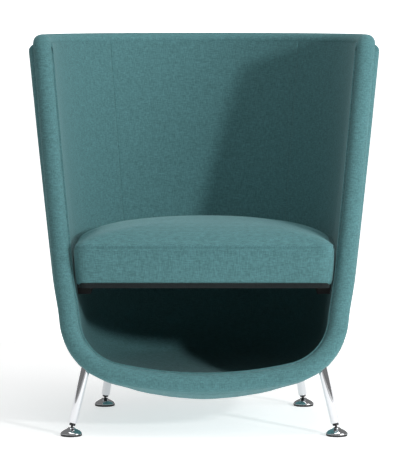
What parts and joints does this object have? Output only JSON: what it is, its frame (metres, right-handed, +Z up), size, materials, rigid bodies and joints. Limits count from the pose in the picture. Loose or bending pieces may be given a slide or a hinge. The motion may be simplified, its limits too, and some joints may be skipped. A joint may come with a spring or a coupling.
{
  "type": "acoustic high back lounge chair",
  "caption": "Upholstered high back tub chair with a wraparound shell, a thick seat over an open storage hollow, and splayed tube legs on tilting level glides",
  "frame": {"origin": "on the floor, under the centre of the whole chair", "axes": "+Z up; the open front faces -Y; +X is to the right as seen from the front"},
  "size_m": [0.808, 0.7073, 0.896],
  "materials": {
    "cover_fabric": "woven melange wool",
    "roll_fabric": "woven melange wool over a padded roll",
    "lining_fabric": "woven melange wool",
    "seat_fabric": "woven melange wool, twin stitched seams",
    "core_foam": "moulded",
    "seat_foam": "cut foam",
    "board_cover": "black lining cloth over plywood",
    "plywood": "black stained plywood",
    "leg_chrome": "polished",
    "glide_chrome": "polished",
    "stem_steel": "black oxide",
    "glide_black": "moulded",
    "zinc_steel": "zinc plated"
  },
  "bodies": {
    "chair": {"outer_cover_left": "cover_fabric", "outer_cover_right": "cover_fabric", "shell_core": "core_foam", "lining_hollow": "lining_fabric", "lining_back": "lining_fabric", "lining_wing_left": "lining_fabric", "lining_wing_right": "lining_fabric", "edge_roll": "roll_fabric", "seat_board": "board_cover", "seat_foam": "seat_foam", "seat_border": "seat_fabric", "seat_top_panel": "seat_fabric", "cleat_left": "plywood", "cleat_right": "plywood", "cleat_rear": "plywood", "leg_plugs": "zinc_steel", "leg_bushes": "zinc_steel", "leg_front_left": "leg_chrome", "leg_front_right": "leg_chrome", "leg_rear_left": "leg_chrome", "leg_rear_right": "leg_chrome"},
    "stem_front_left": {"glide_stem_front_left": "stem_steel"},
    "foot_front_left": {"glide_disc_front_left": "glide_chrome", "glide_pad_front_left": "glide_black"},
    "stem_front_right": {"glide_stem_front_right": "stem_steel"},
    "foot_front_right": {"glide_disc_front_right": "glide_chrome", "glide_pad_front_right": "glide_black"},
    "stem_rear_left": {"glide_stem_rear_left": "stem_steel"},
    "foot_rear_left": {"glide_disc_rear_left": "glide_chrome", "glide_pad_rear_left": "glide_black"},
    "stem_rear_right": {"glide_stem_rear_right": "stem_steel"},
    "foot_rear_right": {"glide_disc_rear_right": "glide_chrome", "glide_pad_rear_right": "glide_black"}
  },
  "joints": [
    {"name": "level_front_left", "type": "slide", "parent": "chair", "child": "stem_front_left", "axis": [-0.227, -0.1256, -0.9658], "range_m": [0, 0.006]},
    {"name": "tilt_front_left", "type": "hinge", "parent": "stem_front_left", "child": "foot_front_left", "pos_m": [-0.297, -0.292, 0.014], "axis": [-0.4841, 0.875, 0], "range_deg": [-8, 8]},
    {"name": "level_front_right", "type": "slide", "parent": "chair", "child": "stem_front_right", "axis": [0.227, -0.1256, -0.9658], "range_m": [0, 0.006]},
    {"name": "tilt_front_right", "type": "hinge", "parent": "stem_front_right", "child": "foot_front_right", "pos_m": [0.297, -0.292, 0.014], "axis": [-0.4841, -0.875, 0], "range_deg": [-8, 8]},
    {"name": "level_rear_left", "type": "slide", "parent": "chair", "child": "stem_rear_left", "axis": [-0.1544, 0.2123, -0.9649], "range_m": [0, 0.006]},
    {"name": "tilt_rear_left", "type": "hinge", "parent": "stem_rear_left", "child": "foot_rear_left", "pos_m": [-0.239, 0.108, 0.014], "axis": [0.8087, 0.5882, 0], "range_deg": [-8, 8]},
    {"name": "level_rear_right", "type": "slide", "parent": "chair", "child": "stem_rear_right", "axis": [0.1544, 0.2123, -0.9649], "range_m": [0, 0.006]},
    {"name": "tilt_rear_right", "type": "hinge", "parent": "stem_rear_right", "child": "foot_rear_right", "pos_m": [0.239, 0.108, 0.014], "axis": [0.8087, -0.5882, 0], "range_deg": [-8, 8]}
  ]
}
